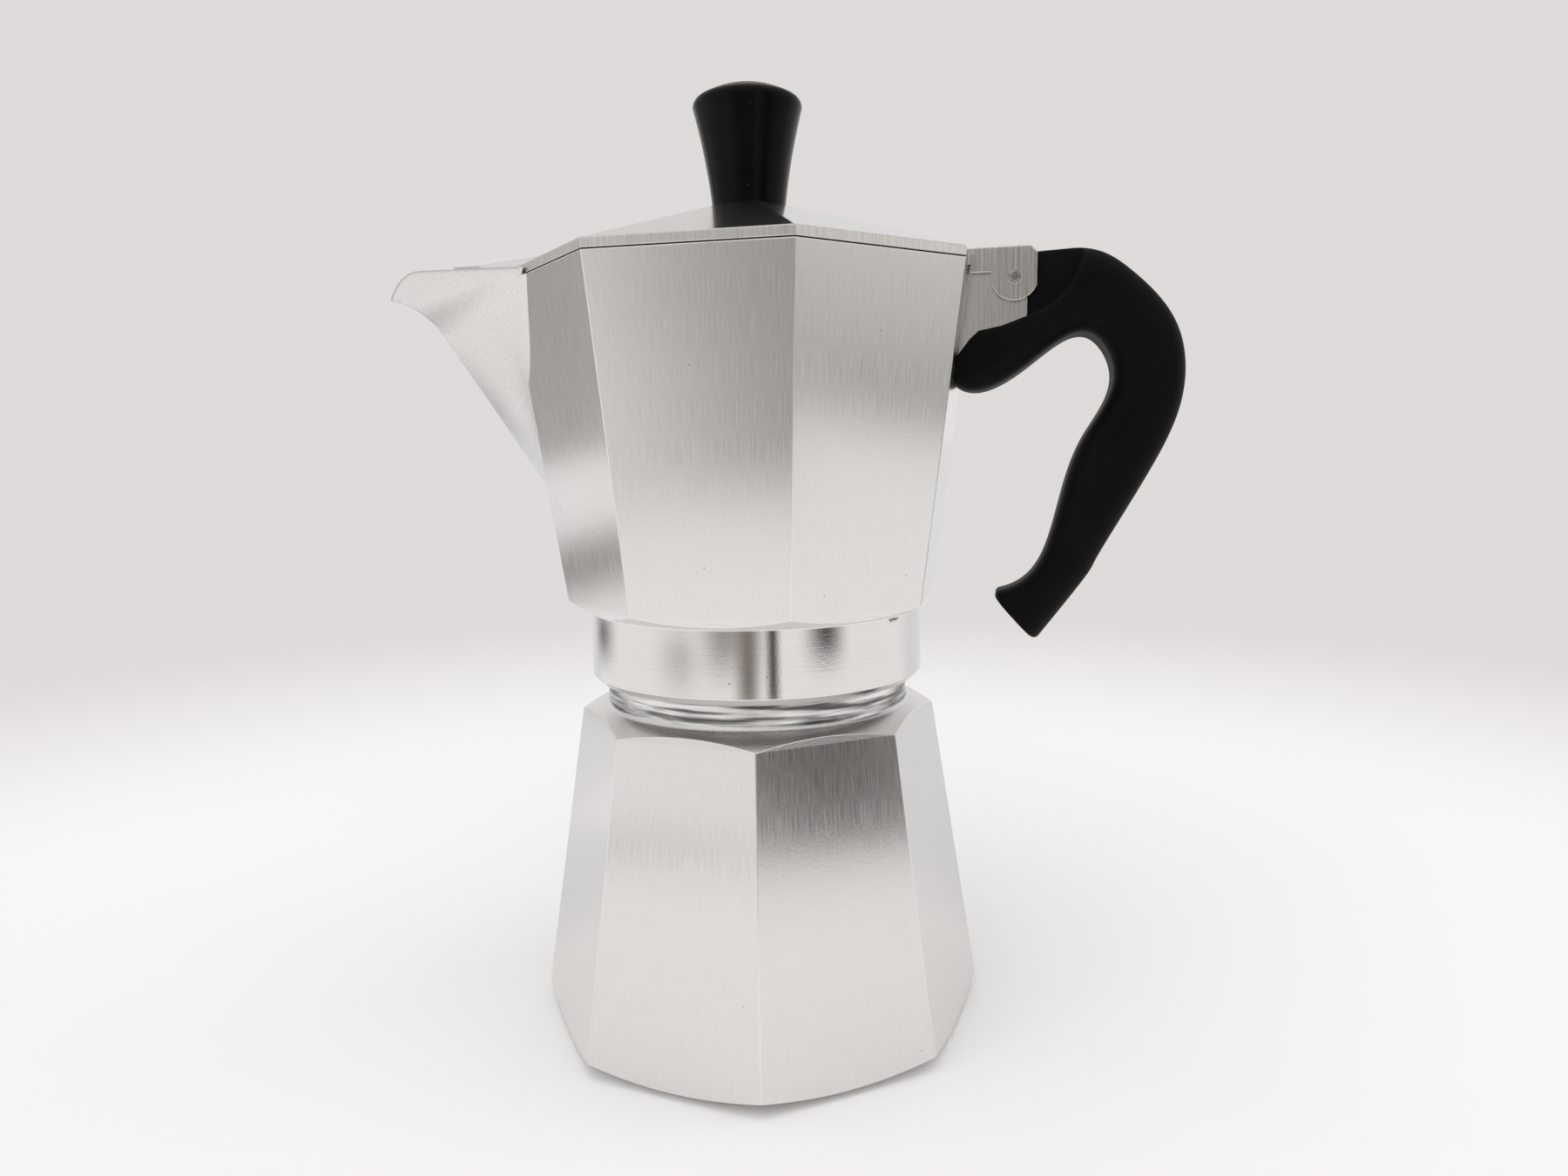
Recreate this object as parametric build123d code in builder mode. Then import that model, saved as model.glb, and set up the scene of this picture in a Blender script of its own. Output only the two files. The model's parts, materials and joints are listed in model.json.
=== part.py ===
from build123d import *
from math import atan2, cos, pi, radians, sin, sqrt, tan
import os

# An eight-sided aluminium moka pot for the stove: a water boiler with a safety valve, a coffee
# funnel, a gasket and filter plate, and a collector with a beaked spout, a hinged lid, a black
# knob and a black handle. The origin is the middle of the boiler's base, +Z is up, the handle
# points along +X and the spout along -X. Sizes are in millimetres.

# Clearances
seat_gap = 0.05            # between flat faces that rest on one another
fit_gap = 0.02             # round pieces held fast in a hole
running_gap = 0.05         # a pin or stem that turns or slides in a hole
loose_gap = 0.5            # pieces that must slip past one another

# Boiler: cast with eight flats, turned at the foot, shoulder and neck
flat_count = 8
boiler_base_radius = 53.9  # to the corners, at the table
boiler_top_radius = 42.4   # to the corners, under the shoulder
boiler_top_height = 73.3
boiler_clocking = -9.7     # the angle at which the thread stops the flats against the collector's
boiler_wall = 3.0
boiler_floor = 4.5
foot_radius = 46.6
foot_angle = 27.0
shoulder_angle = 24.7
neck_radius = 35.6
neck_wall = 5.0
neck_root_round = 1.5
neck_height = 14.6         # from the shoulder to the rim
thread_length = 8.0
thread_depth = 1.1
base_groove_radius = 33.0
base_groove_width = 1.2
base_groove_depth = 0.5

# Safety valve, square to one flat at the back
valve_flat = 3             # counted from the flat beside the handle
valve_height = 54.0
valve_shank_radius = 5.0
valve_hex_width = 14.0
valve_hex_height = 4.5
valve_flange_radius = 7.8
valve_flange_thickness = 1.6
valve_washer_thickness = 1.0
valve_nut_thickness = 3.0
valve_nut_width = 15.0
valve_tail = 1.5           # shank that shows past the nut
valve_bore_radius = 3.0
valve_inlet_radius = 1.5
valve_stem_radius = 1.0
valve_head_gap = 0.4
valve_head_thickness = 1.4
valve_nose_taper = 20.0
valve_cap_radius = 4.0
valve_cap_thickness = 1.4
valve_stem_show = 1.0
spring_wire_radius = 0.28
spring_turns = 5

# Coffee funnel: drawn from thin sheet
funnel_sheet = 0.9
funnel_flange_inset = 2.0  # from the neck's outside to the flange's edge
funnel_bowl_depth = 24.0
funnel_cone_depth = 8.0
funnel_stem_radius = 4.8
funnel_stem_lift = 6.0     # from the boiler's floor to the stem's open end
filter_sheet = 0.8
filter_hole_radius = 0.9
filter_hole_rings = 4

# Gasket and filter plate
gasket_inset = 1.2         # from the neck's outside to the gasket's edge
gasket_width = 6.4
gasket_thickness = 3.2
gasket_edge = 0.4
plate_inset = 2.4          # from the gasket's edge to the plate's
plate_sheet = 0.7

# Collector: cast with eight flats over a round collar
collector_bottom_radius = 44.2
collector_foot_rise = 4.6  # from the filter plate's seat to the lower corners
collector_top_radius = 54.3
collector_rise = 72.2      # from the lower corners to the rim
collector_wall = 2.8
collector_floor = 3.6
collector_cone_angle = 26.0
collector_corner_round = 4.0
floor_rise = 3.5
collar_wall = 2.8
collar_drop = 14.0         # from the filter plate's seat down over the neck
collar_edge = 1.6
thread_clearance = 0.8     # from the neck's outside to the collar's bore
chamber_depth = 3.6

# Column that carries the coffee up into the collector
column_bore_radius = 3.4
column_foot_radius = 6.0
column_shoulder_radius = 7.6
column_top_radius = 5.0
column_height = 46.0
column_window_width = 4.0
column_window_height = 7.0

# Spout: a thin-walled keel that leans out and ends in a beak
spout_overhang_share = 0.5263  # from the corner radius to the tip, as a share of the collector's rise
spout_tip_rise = 0.1       # of the tip over the rim
spout_keel_angle = 55.0
spout_tip_angle = 12.0
spout_beak_radius = 22.5
spout_wall = 2.2
spout_root_spread = 12.8   # how far the spout's wall lands past the corner, at the rim
spout_root_share = 0.3657  # of the rise, where the spout's wall crosses the nearest corner
spout_nose_radius = 1.6
spout_inner_nose_radius = 0.8
spout_lip_rise = 5.4
spout_lip_setback = 13.3
spout_lip_lead = 0.6
spout_flare = 0.35          # how far the walls go on leaning out above the tip, for each unit of height

# Lid: a low eight-sided roof with a gable that covers the root of the spout
lid_gap = 0.3
lid_rim = 1.95
lid_wall = 1.7
lid_rise = 14.25
lid_boss_margin = 0.35     # of the flat top round the knob's foot
gable_setback = 17.3       # from the spout's tip to the gable's
gable_tip_rise = 5.45
gable_slope = 0.325
gable_root_setback = 12.8
gable_shoulder_setback = 32.3

# Knob, with its insert, screw and washer
knob_height = 26.7
knob_foot_radius = 8.35
knob_waist_radius = 9.35
knob_waist_height = 7.7
knob_brim_radius = 12.4
knob_brim_height = 22.0
knob_crown_radius = 10.7
knob_crown_height = 24.2
insert_radius = 3.2
insert_length = 12.0
screw_radius = 1.95
screw_length = 10.0
screw_head_radius = 3.6
screw_head_height = 2.2
screw_slot_width = 0.9
washer_radius = 5.2
washer_thickness = 0.8

# Hinge
hinge_stand_off = 9.6      # from the collector's flat to the pin
lug_top_rise = 0.1         # of the lug over the rim
pin_radius = 1.25
pin_show = 0.35
lug_slot_half_width = 5.0
lug_cheek = 2.9
lug_eye_wall = 1.45
lug_drop = 17.0
lug_toe_drop = 12.7
lug_root = 1.3
ear_gap = 0.3
ear_thickness = 1.8
ear_radius = 5.0
ear_flat = 4.6
ear_top_rise = 6.2
ear_corner = 1.4
ear_neck_rise = 1.1
ear_root = 9.2
web_reach = 8.3

# Handle: points of its side outline, measured from the hinge pin
handle_cover = 0.8         # past the ears' outsides
handle_tip_half_width = 7.3
handle_edge_round = 4.8
handle_corner_round = 1.2
handle_gap = 0.15
pocket_gap = 0.2
handle_brow = (5.0, 5.5)
handle_crest = (12.2, 5.8)
handle_back = ((23.9, 0.8), (33.5, -10.8), (35.4, -22.2), (28.9, -41.2), (18.4, -60.2))
handle_sole = (5.4, -79.0)
handle_toe = (-4.6, -68.0)
handle_inside = ((4.6, -63.3), (9.1, -52.6), (15.3, -33.4), (20.8, -19.4), (16.0, -11.9), (3.1, -18.0))
handle_chin_drop = 22.0
handle_rest_drop = 16.0
handle_lip = ((-9.2, -12.6), (-7.4, -11.0), (-2.6, -10.1), (2.9, -8.2))
handle_front_top = (2.9, 3.6)
recess_top = (12.9, 9.0)
recess_curve = ((13.8, 2.7), (11.2, -2.7), (6.7, -6.6), (2.2, -8.2))

# Worked-out sizes
flat_share = cos(pi / flat_count)
flat_turn = 180 / flat_count
neck_bore_radius = neck_radius - neck_wall
funnel_flange_radius = neck_radius - funnel_flange_inset
gasket_radius = neck_radius - gasket_inset
gasket_bore_radius = gasket_radius - gasket_width
plate_radius = gasket_radius - plate_inset
filter_hole_pitch = (gasket_bore_radius - 3 * filter_hole_radius) / filter_hole_rings
collar_bore_radius = neck_radius + thread_clearance
collar_radius = collar_bore_radius + collar_wall
valve_head_radius = valve_bore_radius - valve_head_gap
spring_radius = (valve_bore_radius + valve_stem_radius) / 2
lid_boss_radius = knob_foot_radius / flat_share + lid_boss_margin
lug_half_width = lug_slot_half_width + lug_cheek
lug_eye_radius = pin_radius + lug_eye_wall
ear_inside = lug_half_width + ear_gap
ear_outside = ear_inside + ear_thickness
tongue_half_width = lug_slot_half_width - pocket_gap
handle_half_width = ear_outside + handle_cover


def boiler_corner(height):
    """Distance from the axis to the boiler's corners at a height."""
    drop = (boiler_base_radius - boiler_top_radius) / boiler_top_height
    return boiler_base_radius - drop * height


def collector_corner(height):
    """Distance from the axis to the collector's corners at a height."""
    rise = collector_rim_height - collector_bottom_height
    lean = (collector_top_radius - collector_bottom_radius) / rise
    return collector_bottom_radius + lean * (height - collector_bottom_height)


shoulder_slope = tan(radians(shoulder_angle))
shoulder_height = boiler_top_height + (boiler_top_radius - neck_radius) * shoulder_slope
neck_rim_height = shoulder_height + neck_height
thread_start = neck_rim_height - thread_length
thread_core_radius = neck_radius - thread_depth
flange_height = neck_rim_height + seat_gap
gasket_height = flange_height + funnel_sheet + seat_gap
plate_height = gasket_height + gasket_thickness + seat_gap
collector_seat = plate_height + plate_sheet + seat_gap
collar_bottom_height = collector_seat - collar_drop
collector_bottom_height = collector_seat + collector_foot_rise
collector_rim_height = collector_bottom_height + collector_rise
hinge_reach = collector_top_radius * flat_share + hinge_stand_off
hinge_height = collector_rim_height + lug_top_rise - lug_eye_radius
hinge_plane = Plane(origin=(hinge_reach, 0, hinge_height), x_dir=(1, 0, 0), z_dir=(0, -1, 0))
bowl_radius = neck_bore_radius - loose_gap
bowl_bottom = flange_height - funnel_bowl_depth
stem_bottom = boiler_floor + funnel_stem_lift
os.makedirs("parts", exist_ok=True)


def write(piece, name):
    """Names a finished piece and writes it."""
    piece.part.label = name
    export_step(piece.part, "parts/" + name + ".step")


# Boiler
clocked = Vector(1, 0, 0).rotate(Axis.Z, boiler_clocking)
boiler_plane = Plane(origin=(0, 0, 0), x_dir=clocked, z_dir=(0, 0, 1))
blank_radius = boiler_base_radius + 2 * boiler_wall
foot_rise = (blank_radius - foot_radius) * tan(radians(foot_angle))
shoulder_drop = boiler_top_height - (blank_radius - boiler_top_radius) * shoulder_slope
cavity_foot = boiler_corner(boiler_floor) * flat_share - boiler_wall
cavity_top = boiler_corner(boiler_top_height) * flat_share - boiler_wall
cavity_shoulder = boiler_top_height - boiler_wall
neck_inside = shoulder_height - boiler_wall / 2

valve_turn = boiler_clocking + valve_flat * 360 / flat_count
valve_out = Vector(cos(radians(valve_turn)), sin(radians(valve_turn)), 0)
boiler_lean = (boiler_base_radius - boiler_top_radius) / boiler_top_height * flat_share
valve_plane = Plane(
    origin=valve_out * (boiler_corner(valve_height) * flat_share) + Vector(0, 0, valve_height),
    x_dir=(-sin(radians(valve_turn)), cos(radians(valve_turn)), 0),
    z_dir=(valve_out.X, valve_out.Y, boiler_lean),
)
valve_inner_face = -boiler_wall * cos(atan2(boiler_lean, 1))

with BuildPart() as boiler:
    with BuildSketch(boiler_plane):
        RegularPolygon(boiler_base_radius, flat_count, rotation=flat_turn)
    with BuildSketch(boiler_plane.offset(shoulder_height)):
        RegularPolygon(boiler_corner(shoulder_height), flat_count, rotation=flat_turn)
    loft()
    with BuildSketch(Plane.XZ):
        with BuildLine():
            Polyline(
                (0, 0),
                (foot_radius, 0),
                (blank_radius, foot_rise),
                (blank_radius, shoulder_drop),
                (neck_radius, shoulder_height),
                (0, shoulder_height),
                close=True,
            )
        make_face()
    revolve(axis=Axis.Z, mode=Mode.INTERSECT)
    with BuildSketch(Plane.XZ):
        with BuildLine():
            Polyline(
                (0, neck_inside),
                (neck_radius, neck_inside),
                (neck_radius, thread_start),
                (thread_core_radius, thread_start + thread_depth),
                (thread_core_radius, neck_rim_height),
                (0, neck_rim_height),
                close=True,
            )
        make_face()
    revolve(axis=Axis.Z)
    neck_circles = boiler.edges().filter_by(GeomType.CIRCLE)
    neck_root = neck_circles.sort_by_distance((neck_radius, 0, shoulder_height))[0]
    fillet(neck_root, radius=neck_root_round)
    with BuildSketch(Plane.XZ) as cavity:
        with BuildLine():
            Polyline(
                (0, boiler_floor),
                (cavity_foot, boiler_floor),
                (cavity_top, cavity_shoulder),
                (neck_bore_radius, neck_inside),
                (neck_bore_radius, neck_rim_height),
                (0, neck_rim_height),
                close=True,
            )
        make_face()
        fillet(cavity.vertices().sort_by(Axis.X)[-1], radius=2 * boiler_wall)
        fillet(cavity.vertices().sort_by_distance((cavity_top, cavity_shoulder))[0], radius=boiler_wall)
    revolve(axis=Axis.Z, mode=Mode.SUBTRACT)
    with BuildSketch(Plane.XY):
        Circle(base_groove_radius + base_groove_width)
        Circle(base_groove_radius, mode=Mode.SUBTRACT)
    extrude(amount=base_groove_depth, mode=Mode.SUBTRACT)
    with BuildSketch(valve_plane.offset(valve_washer_thickness)):
        Circle(valve_shank_radius + fit_gap)
    extrude(amount=-4 * boiler_wall, mode=Mode.SUBTRACT)
    with BuildSketch(valve_plane.offset(valve_inner_face)):
        Circle(valve_nut_width / sqrt(3) + loose_gap)
    extrude(amount=-2 * boiler_wall, mode=Mode.SUBTRACT)
write(boiler, "boiler")

# Safety valve, along the valve's own axis
flange_face = valve_washer_thickness + 2 * seat_gap
hex_face = flange_face + valve_flange_thickness
valve_mouth = hex_face + valve_hex_height
valve_tail_end = valve_inner_face - seat_gap - valve_nut_thickness - valve_tail
cap_face = valve_mouth - valve_cap_thickness
valve_seat = valve_inner_face
with BuildPart() as valve_body:
    with BuildSketch(valve_plane.offset(valve_tail_end)):
        Circle(valve_shank_radius)
    extrude(amount=flange_face - valve_tail_end)
    with BuildSketch(valve_plane.offset(flange_face)):
        Circle(valve_flange_radius)
    extrude(amount=valve_flange_thickness)
    with BuildSketch(valve_plane.offset(hex_face)):
        RegularPolygon(valve_hex_width / 2, 6, major_radius=False)
    extrude(amount=valve_hex_height)
    with BuildSketch(valve_plane.offset(valve_tail_end)):
        Circle(valve_inlet_radius)
    extrude(amount=valve_mouth - valve_tail_end, mode=Mode.SUBTRACT)
    with BuildSketch(valve_plane.offset(valve_seat)):
        Circle(valve_bore_radius)
    extrude(amount=valve_mouth - valve_seat, mode=Mode.SUBTRACT)
    with BuildSketch(valve_plane.offset(cap_face)):
        Circle(valve_cap_radius + fit_gap)
    extrude(amount=valve_cap_thickness, mode=Mode.SUBTRACT)
write(valve_body, "valve_body")

with BuildPart() as valve_washer:
    with BuildSketch(valve_plane.offset(seat_gap)):
        Circle(valve_flange_radius)
        Circle(valve_shank_radius + fit_gap, mode=Mode.SUBTRACT)
    extrude(amount=valve_washer_thickness)
write(valve_washer, "valve_washer")

with BuildPart() as valve_nut:
    with BuildSketch(valve_plane.offset(valve_inner_face - seat_gap)):
        RegularPolygon(valve_nut_width / 2, 6, major_radius=False)
        Circle(valve_shank_radius + fit_gap, mode=Mode.SUBTRACT)
    extrude(amount=-valve_nut_thickness)
write(valve_nut, "valve_nut")

with BuildPart() as valve_cap:
    with BuildSketch(valve_plane.offset(cap_face + seat_gap)):
        Circle(valve_cap_radius)
        Circle(valve_stem_radius + running_gap, mode=Mode.SUBTRACT)
    extrude(amount=valve_cap_thickness - seat_gap)
write(valve_cap, "valve_cap")

with BuildPart() as valve_plunger:
    with BuildSketch(valve_plane.offset(valve_seat + seat_gap)):
        Circle(valve_head_radius)
    extrude(amount=valve_head_thickness)
    with BuildSketch(valve_plane.offset(valve_seat + seat_gap)):
        Circle(valve_stem_radius)
    extrude(amount=valve_mouth + valve_stem_show - valve_seat - seat_gap)
    with BuildSketch(valve_plane.offset(valve_seat + seat_gap)):
        Circle(valve_inlet_radius - loose_gap)
    extrude(amount=-valve_head_thickness, taper=valve_nose_taper)
write(valve_plunger, "valve_plunger")

spring_foot = valve_seat + valve_head_thickness + 2 * seat_gap + spring_wire_radius
spring_length = cap_face - spring_wire_radius - spring_foot
with BuildPart() as valve_spring:
    with BuildLine():
        coil = Helix(
            spring_length / spring_turns,
            spring_length,
            spring_radius,
            center=valve_plane.offset(spring_foot).origin,
            direction=valve_plane.z_dir,
        )
    with BuildSketch(coil ^ 0):
        Circle(spring_wire_radius)
    sweep()
write(valve_spring, "valve_spring")

# Coffee funnel
bowl_inside = bowl_radius - funnel_sheet
cone_bottom = bowl_bottom - funnel_cone_depth
stem_inside = funnel_stem_radius - funnel_sheet
with BuildPart() as funnel:
    with BuildSketch(Plane.XZ) as funnel_wall:
        with BuildLine():
            Polyline(
                (bowl_inside, flange_height + funnel_sheet),
                (funnel_flange_radius, flange_height + funnel_sheet),
                (funnel_flange_radius, flange_height),
                (bowl_radius, flange_height),
                (bowl_radius, bowl_bottom),
                (funnel_stem_radius, cone_bottom),
                (funnel_stem_radius, stem_bottom),
                (stem_inside, stem_bottom),
                (stem_inside, cone_bottom + funnel_sheet),
                (bowl_inside, bowl_bottom + funnel_sheet),
                close=True,
            )
        make_face()
    revolve(axis=Axis.Z)
write(funnel, "funnel")


def perforate(count):
    """Rings of holes about the axis, ring by ring with six more holes each time."""
    for ring in range(1, count + 1):
        with PolarLocations(ring * filter_hole_pitch, 6 * ring):
            Circle(filter_hole_radius, mode=Mode.SUBTRACT)


with BuildPart() as funnel_filter:
    with BuildSketch(Plane.XY.offset(bowl_bottom + funnel_sheet + seat_gap)):
        Circle(bowl_inside - fit_gap)
        Circle(filter_hole_radius, mode=Mode.SUBTRACT)
        perforate(filter_hole_rings)
    extrude(amount=filter_sheet)
write(funnel_filter, "funnel_filter")

# Gasket and filter plate
with BuildPart() as gasket:
    with BuildSketch(Plane.XY.offset(gasket_height)):
        Circle(gasket_radius)
        Circle(gasket_bore_radius, mode=Mode.SUBTRACT)
    extrude(amount=gasket_thickness)
    chamfer(gasket.edges().filter_by(GeomType.CIRCLE), length=gasket_edge)
write(gasket, "gasket")

with BuildPart() as filter_plate:
    with BuildSketch(Plane.XY.offset(plate_height)):
        Circle(plate_radius)
        Circle(filter_hole_radius, mode=Mode.SUBTRACT)
        perforate(filter_hole_rings)
    extrude(amount=plate_sheet)
write(filter_plate, "filter_plate")

# Spout: level sections from the foot of the keel to the tip, as an outer form and an inner core
spout_reach = collector_top_radius + spout_overhang_share * collector_rise
spout_tip_height = collector_rim_height + spout_tip_rise
spout_root_height = collector_bottom_height + spout_root_share * collector_rise
spout_lip_height = collector_rim_height + spout_lip_rise
spout_lip_reach = spout_reach - spout_lip_setback
spout_lip_start = collector_rim_height + spout_lip_lead
spout_top = spout_lip_height + spout_beak_radius
spout_back = collector_bottom_radius * flat_share - 2 * collector_wall
keel_slope = tan(radians(spout_keel_angle))
beak_centre_reach = spout_reach + spout_beak_radius * sin(radians(spout_tip_angle))
beak_centre_height = spout_tip_height - spout_beak_radius * cos(radians(spout_tip_angle))
bend_reach = beak_centre_reach - spout_beak_radius * sin(radians(spout_keel_angle))
bend_height = beak_centre_height + spout_beak_radius * cos(radians(spout_keel_angle))


def keel_point(angle):
    """Reach and height of the beak's underside where it runs at an angle."""
    reach = beak_centre_reach - spout_beak_radius * sin(radians(angle))
    return reach, beak_centre_height + spout_beak_radius * cos(radians(angle))


def keel_reach(height):
    """Reach of the straight keel below the beak."""
    return bend_reach - (bend_height - height) / keel_slope


root_corner = collector_corner(spout_root_height) - loose_gap
root_depth = keel_reach(spout_root_height) - root_corner * flat_share
root_half_width = root_corner * sin(pi / flat_count)
collector_lean = (collector_top_radius - collector_bottom_radius) / collector_rise * flat_share
keel_foot_height = spout_root_height - root_depth / (1 / keel_slope - collector_lean)
shank_foot_height = keel_foot_height - 2 * collector_wall


def spout_root(height):
    """Where the spout's wall lands on the body: reach and half width, just inside the surface."""
    climb = height - spout_root_height
    if climb < 0:
        share = 1 + climb / (spout_root_height - shank_foot_height + collector_wall)
        return keel_reach(height) - root_depth * share, root_half_width * share
    corner = collector_corner(height) - loose_gap
    spread = spout_root_spread * climb / (collector_rim_height - spout_root_height) * sqrt(0.5)
    return corner * flat_share - spread, corner * sin(pi / flat_count) + spread


def spout_section(reach, height, inset, nose):
    """Level section at a height: three points round the keel, then its walls back into the body."""
    root_reach, root_width = spout_root(height)
    half_angle = atan2(root_width, reach - root_reach)
    apex = reach + spout_nose_radius * (1 / sin(half_angle) - 1)
    half_angle = atan2(root_width, apex - root_reach)
    apex = apex - inset / sin(half_angle)
    run = nose / tan(half_angle)
    front = apex - run * cos(half_angle)
    side = run * sin(half_angle)
    width = root_width - inset / cos(half_angle)
    keel = ((-front, side), (nose / sin(half_angle) - nose - apex, 0), (-front, -side))
    walls = ((-front, -side), (-root_reach, -width), (-spout_back, -width))
    return keel, walls, ((-spout_back, width), (-root_reach, width), (-front, side))


shank_heights = (shank_foot_height, spout_root_height, bend_height)
shank = [(keel_reach(height), height) for height in shank_heights]
beak_steps = 4
beak_turn = (spout_tip_angle - spout_keel_angle) / beak_steps
beak = [keel_point(spout_keel_angle + step * beak_turn) for step in range(beak_steps + 1)]
flare = [beak[-1], (spout_reach + spout_flare * (spout_top - spout_tip_height), spout_top)]

with BuildPart() as spout_form:
    for reach, height in shank:
        keel, near_wall, far_wall = spout_section(reach, height, 0, spout_nose_radius)
        with BuildSketch(Plane.XY.offset(height)):
            with BuildLine():
                ThreePointArc(*keel)
                Polyline(*near_wall, *far_wall)
            make_face()
    loft(ruled=True)
    for reach, height in beak:
        keel, near_wall, far_wall = spout_section(reach, height, 0, spout_nose_radius)
        with BuildSketch(Plane.XY.offset(height)):
            with BuildLine():
                ThreePointArc(*keel)
                Polyline(*near_wall, *far_wall)
            make_face()
    loft()
    for reach, height in flare:
        keel, near_wall, far_wall = spout_section(reach, height, 0, spout_nose_radius)
        with BuildSketch(Plane.XY.offset(height)):
            with BuildLine():
                ThreePointArc(*keel)
                Polyline(*near_wall, *far_wall)
            make_face()
    loft(ruled=True)
    with BuildSketch(Plane.XZ):
        with BuildLine():
            lip = Line((-spout_back, spout_lip_start), (-spout_lip_reach, spout_lip_height))
            mouth = TangentArc(lip @ 1, (-spout_reach, spout_tip_height), tangent=lip % 1)
            Polyline(mouth @ 1, (-spout_reach, 0), (-spout_back, 0), lip @ 0)
        make_face()
    extrude(amount=collector_top_radius, both=True, mode=Mode.INTERSECT)

with BuildPart() as spout_core:
    for reach, height in shank[1:]:
        keel, near_wall, far_wall = spout_section(reach, height, spout_wall, spout_inner_nose_radius)
        with BuildSketch(Plane.XY.offset(height)):
            with BuildLine():
                ThreePointArc(*keel)
                Polyline(*near_wall, *far_wall)
            make_face()
    loft(ruled=True)
    for reach, height in beak:
        keel, near_wall, far_wall = spout_section(reach, height, spout_wall, spout_inner_nose_radius)
        with BuildSketch(Plane.XY.offset(height)):
            with BuildLine():
                ThreePointArc(*keel)
                Polyline(*near_wall, *far_wall)
            make_face()
    loft()
    for reach, height in flare:
        keel, near_wall, far_wall = spout_section(reach, height, spout_wall, spout_inner_nose_radius)
        with BuildSketch(Plane.XY.offset(height)):
            with BuildLine():
                ThreePointArc(*keel)
                Polyline(*near_wall, *far_wall)
            make_face()
    loft(ruled=True)

# Collector
cone_slope = tan(radians(collector_cone_angle))
collar_top = collector_bottom_height - (collector_bottom_radius - collar_radius) * cone_slope
cone_foot_radius = collar_radius - collector_wall
cone_foot = collar_top - collector_wall * cone_slope
cone_wide = collector_top_radius + collector_wall
cone_wide_height = collector_bottom_height + (cone_wide - collector_bottom_radius) * cone_slope
chamber_top = collector_seat + chamber_depth
floor_edge = collar_top + collector_floor
gasket_recess_radius = gasket_radius + loose_gap / 2
core_bottom = collector_corner(floor_edge) - collector_wall / flat_share
core_top = collector_corner(collector_rim_height) - collector_wall / flat_share
lid_seat = collector_rim_height + lid_gap
inside_flat = core_bottom * flat_share

with BuildPart() as collector_core:
    with BuildSketch(Plane.XY.offset(floor_edge)):
        RegularPolygon(core_bottom, flat_count, rotation=flat_turn)
    with BuildSketch(Plane.XY.offset(collector_rim_height)):
        RegularPolygon(core_top, flat_count, rotation=flat_turn)
    loft()
    fillet(
        collector_core.edges().filter_by(lambda edge: abs((edge @ 1 - edge @ 0).Z) > collector_wall),
        radius=collector_corner_round,
    )
    with BuildSketch(Plane.XZ):
        with BuildLine():
            Polyline(
                (0, floor_edge),
                (inside_flat - 2 * collector_wall, floor_edge),
                (column_shoulder_radius, floor_edge + floor_rise),
                (0, floor_edge + floor_rise),
                close=True,
            )
        make_face()
    revolve(axis=Axis.Z, mode=Mode.SUBTRACT)

lug_bottom = hinge_height - lug_drop
lug_reach = hinge_reach + lug_eye_radius
lug_top = hinge_height + lug_eye_radius
lug_toe = hinge_height - lug_toe_drop
lug_start = collector_corner(lug_bottom) * flat_share - collector_wall / 2
slot_start = collector_corner(hinge_height) * flat_share + lug_root

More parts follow.
